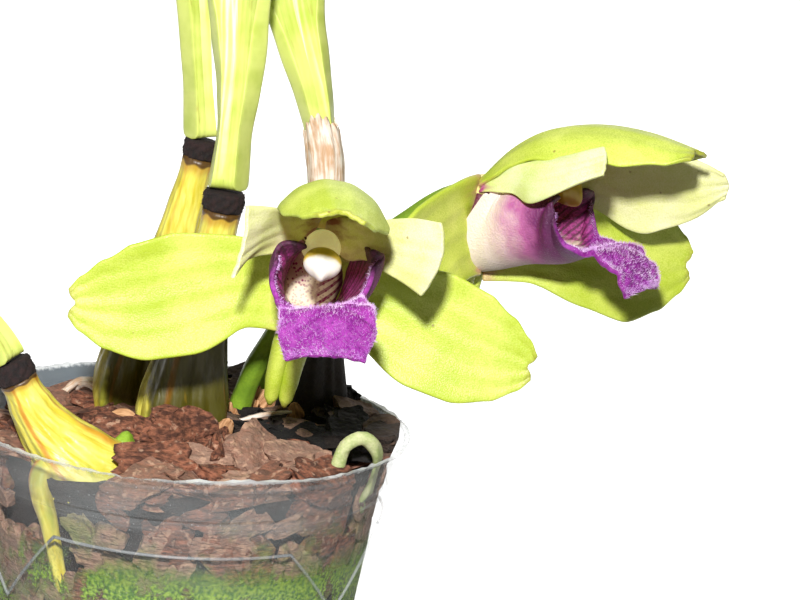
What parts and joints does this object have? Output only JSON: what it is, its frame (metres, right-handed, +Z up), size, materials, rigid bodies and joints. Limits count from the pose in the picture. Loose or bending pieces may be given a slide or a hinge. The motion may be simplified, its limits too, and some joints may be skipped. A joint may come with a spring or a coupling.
{
  "type": "potted orchid plant",
  "caption": "Potted bifrenaria orchid: clear tapered grow pot of bark, angled pseudobulbs with stalked pleated leaves, and spreading green flowers with purple hooded lips.",
  "frame": {"origin": "centre of the pot's flat base, on the surface it stands on", "axes": "+Z up the pot's axis, -Y towards the plant's front, where the front flower faces, +X to the plant's right as seen from the front"},
  "size_m": [0.2373, 0.1493, 0.3064],
  "materials": {
    "clear_pot": "clear, hazy, water-stained thin plastic",
    "bark": "rough red-brown bark chips",
    "roots": "matt spongy root skin, green under white",
    "bulbs": "yellow wrinkled pseudobulb skin with orange edges",
    "joint_rings": "black-brown fuzzy fibre",
    "leaves": "leathery pleated green blade, yellow-green stalk",
    "papery_sheath": "dry white papery sheath",
    "flower_stalks": "smooth fleshy green stalk",
    "brown_husk": "dry brown sheath",
    "sepals": "waxy lime green with a fine sparkle",
    "petals": "waxy pale cream-green, rosy at the foot",
    "column": "waxy cream-yellow",
    "anther_cap": "waxy ivory white",
    "lip": "velvety purple, hairy, white-pink at the claw"
  },
  "bodies": {
    "root": {"pot": "clear_pot", "bark_medium": "bark", "rhizome_roots": "roots", "bulb_front_left": "bulbs", "bulb_back_left": "bulbs", "bulb_centre": "bulbs", "bulb_right": "bulbs", "ring_front_left": "joint_rings", "ring_back_left": "joint_rings", "ring_centre": "joint_rings", "ring_right": "joint_rings", "leaf_front_left": "leaves", "leaf_back_left": "leaves", "leaf_centre": "leaves", "leaf_right": "leaves", "stalk_sheath_right": "papery_sheath", "scape_front": "flower_stalks", "scape_side": "flower_stalks", "scape_sheath_front": "brown_husk", "scape_sheath_side": "brown_husk", "front_column": "column", "front_anther_cap": "anther_cap", "front_lip": "lip", "front_dorsal_sepal": "sepals", "front_petal_left": "petals", "front_petal_right": "petals", "front_sepal_left": "sepals", "front_sepal_right": "sepals", "side_column": "column", "side_anther_cap": "anther_cap", "side_lip": "lip", "side_dorsal_sepal": "sepals", "side_petal_left": "petals", "side_petal_right": "petals", "side_sepal_left": "sepals", "side_sepal_right": "sepals"}
  },
  "joints": []
}
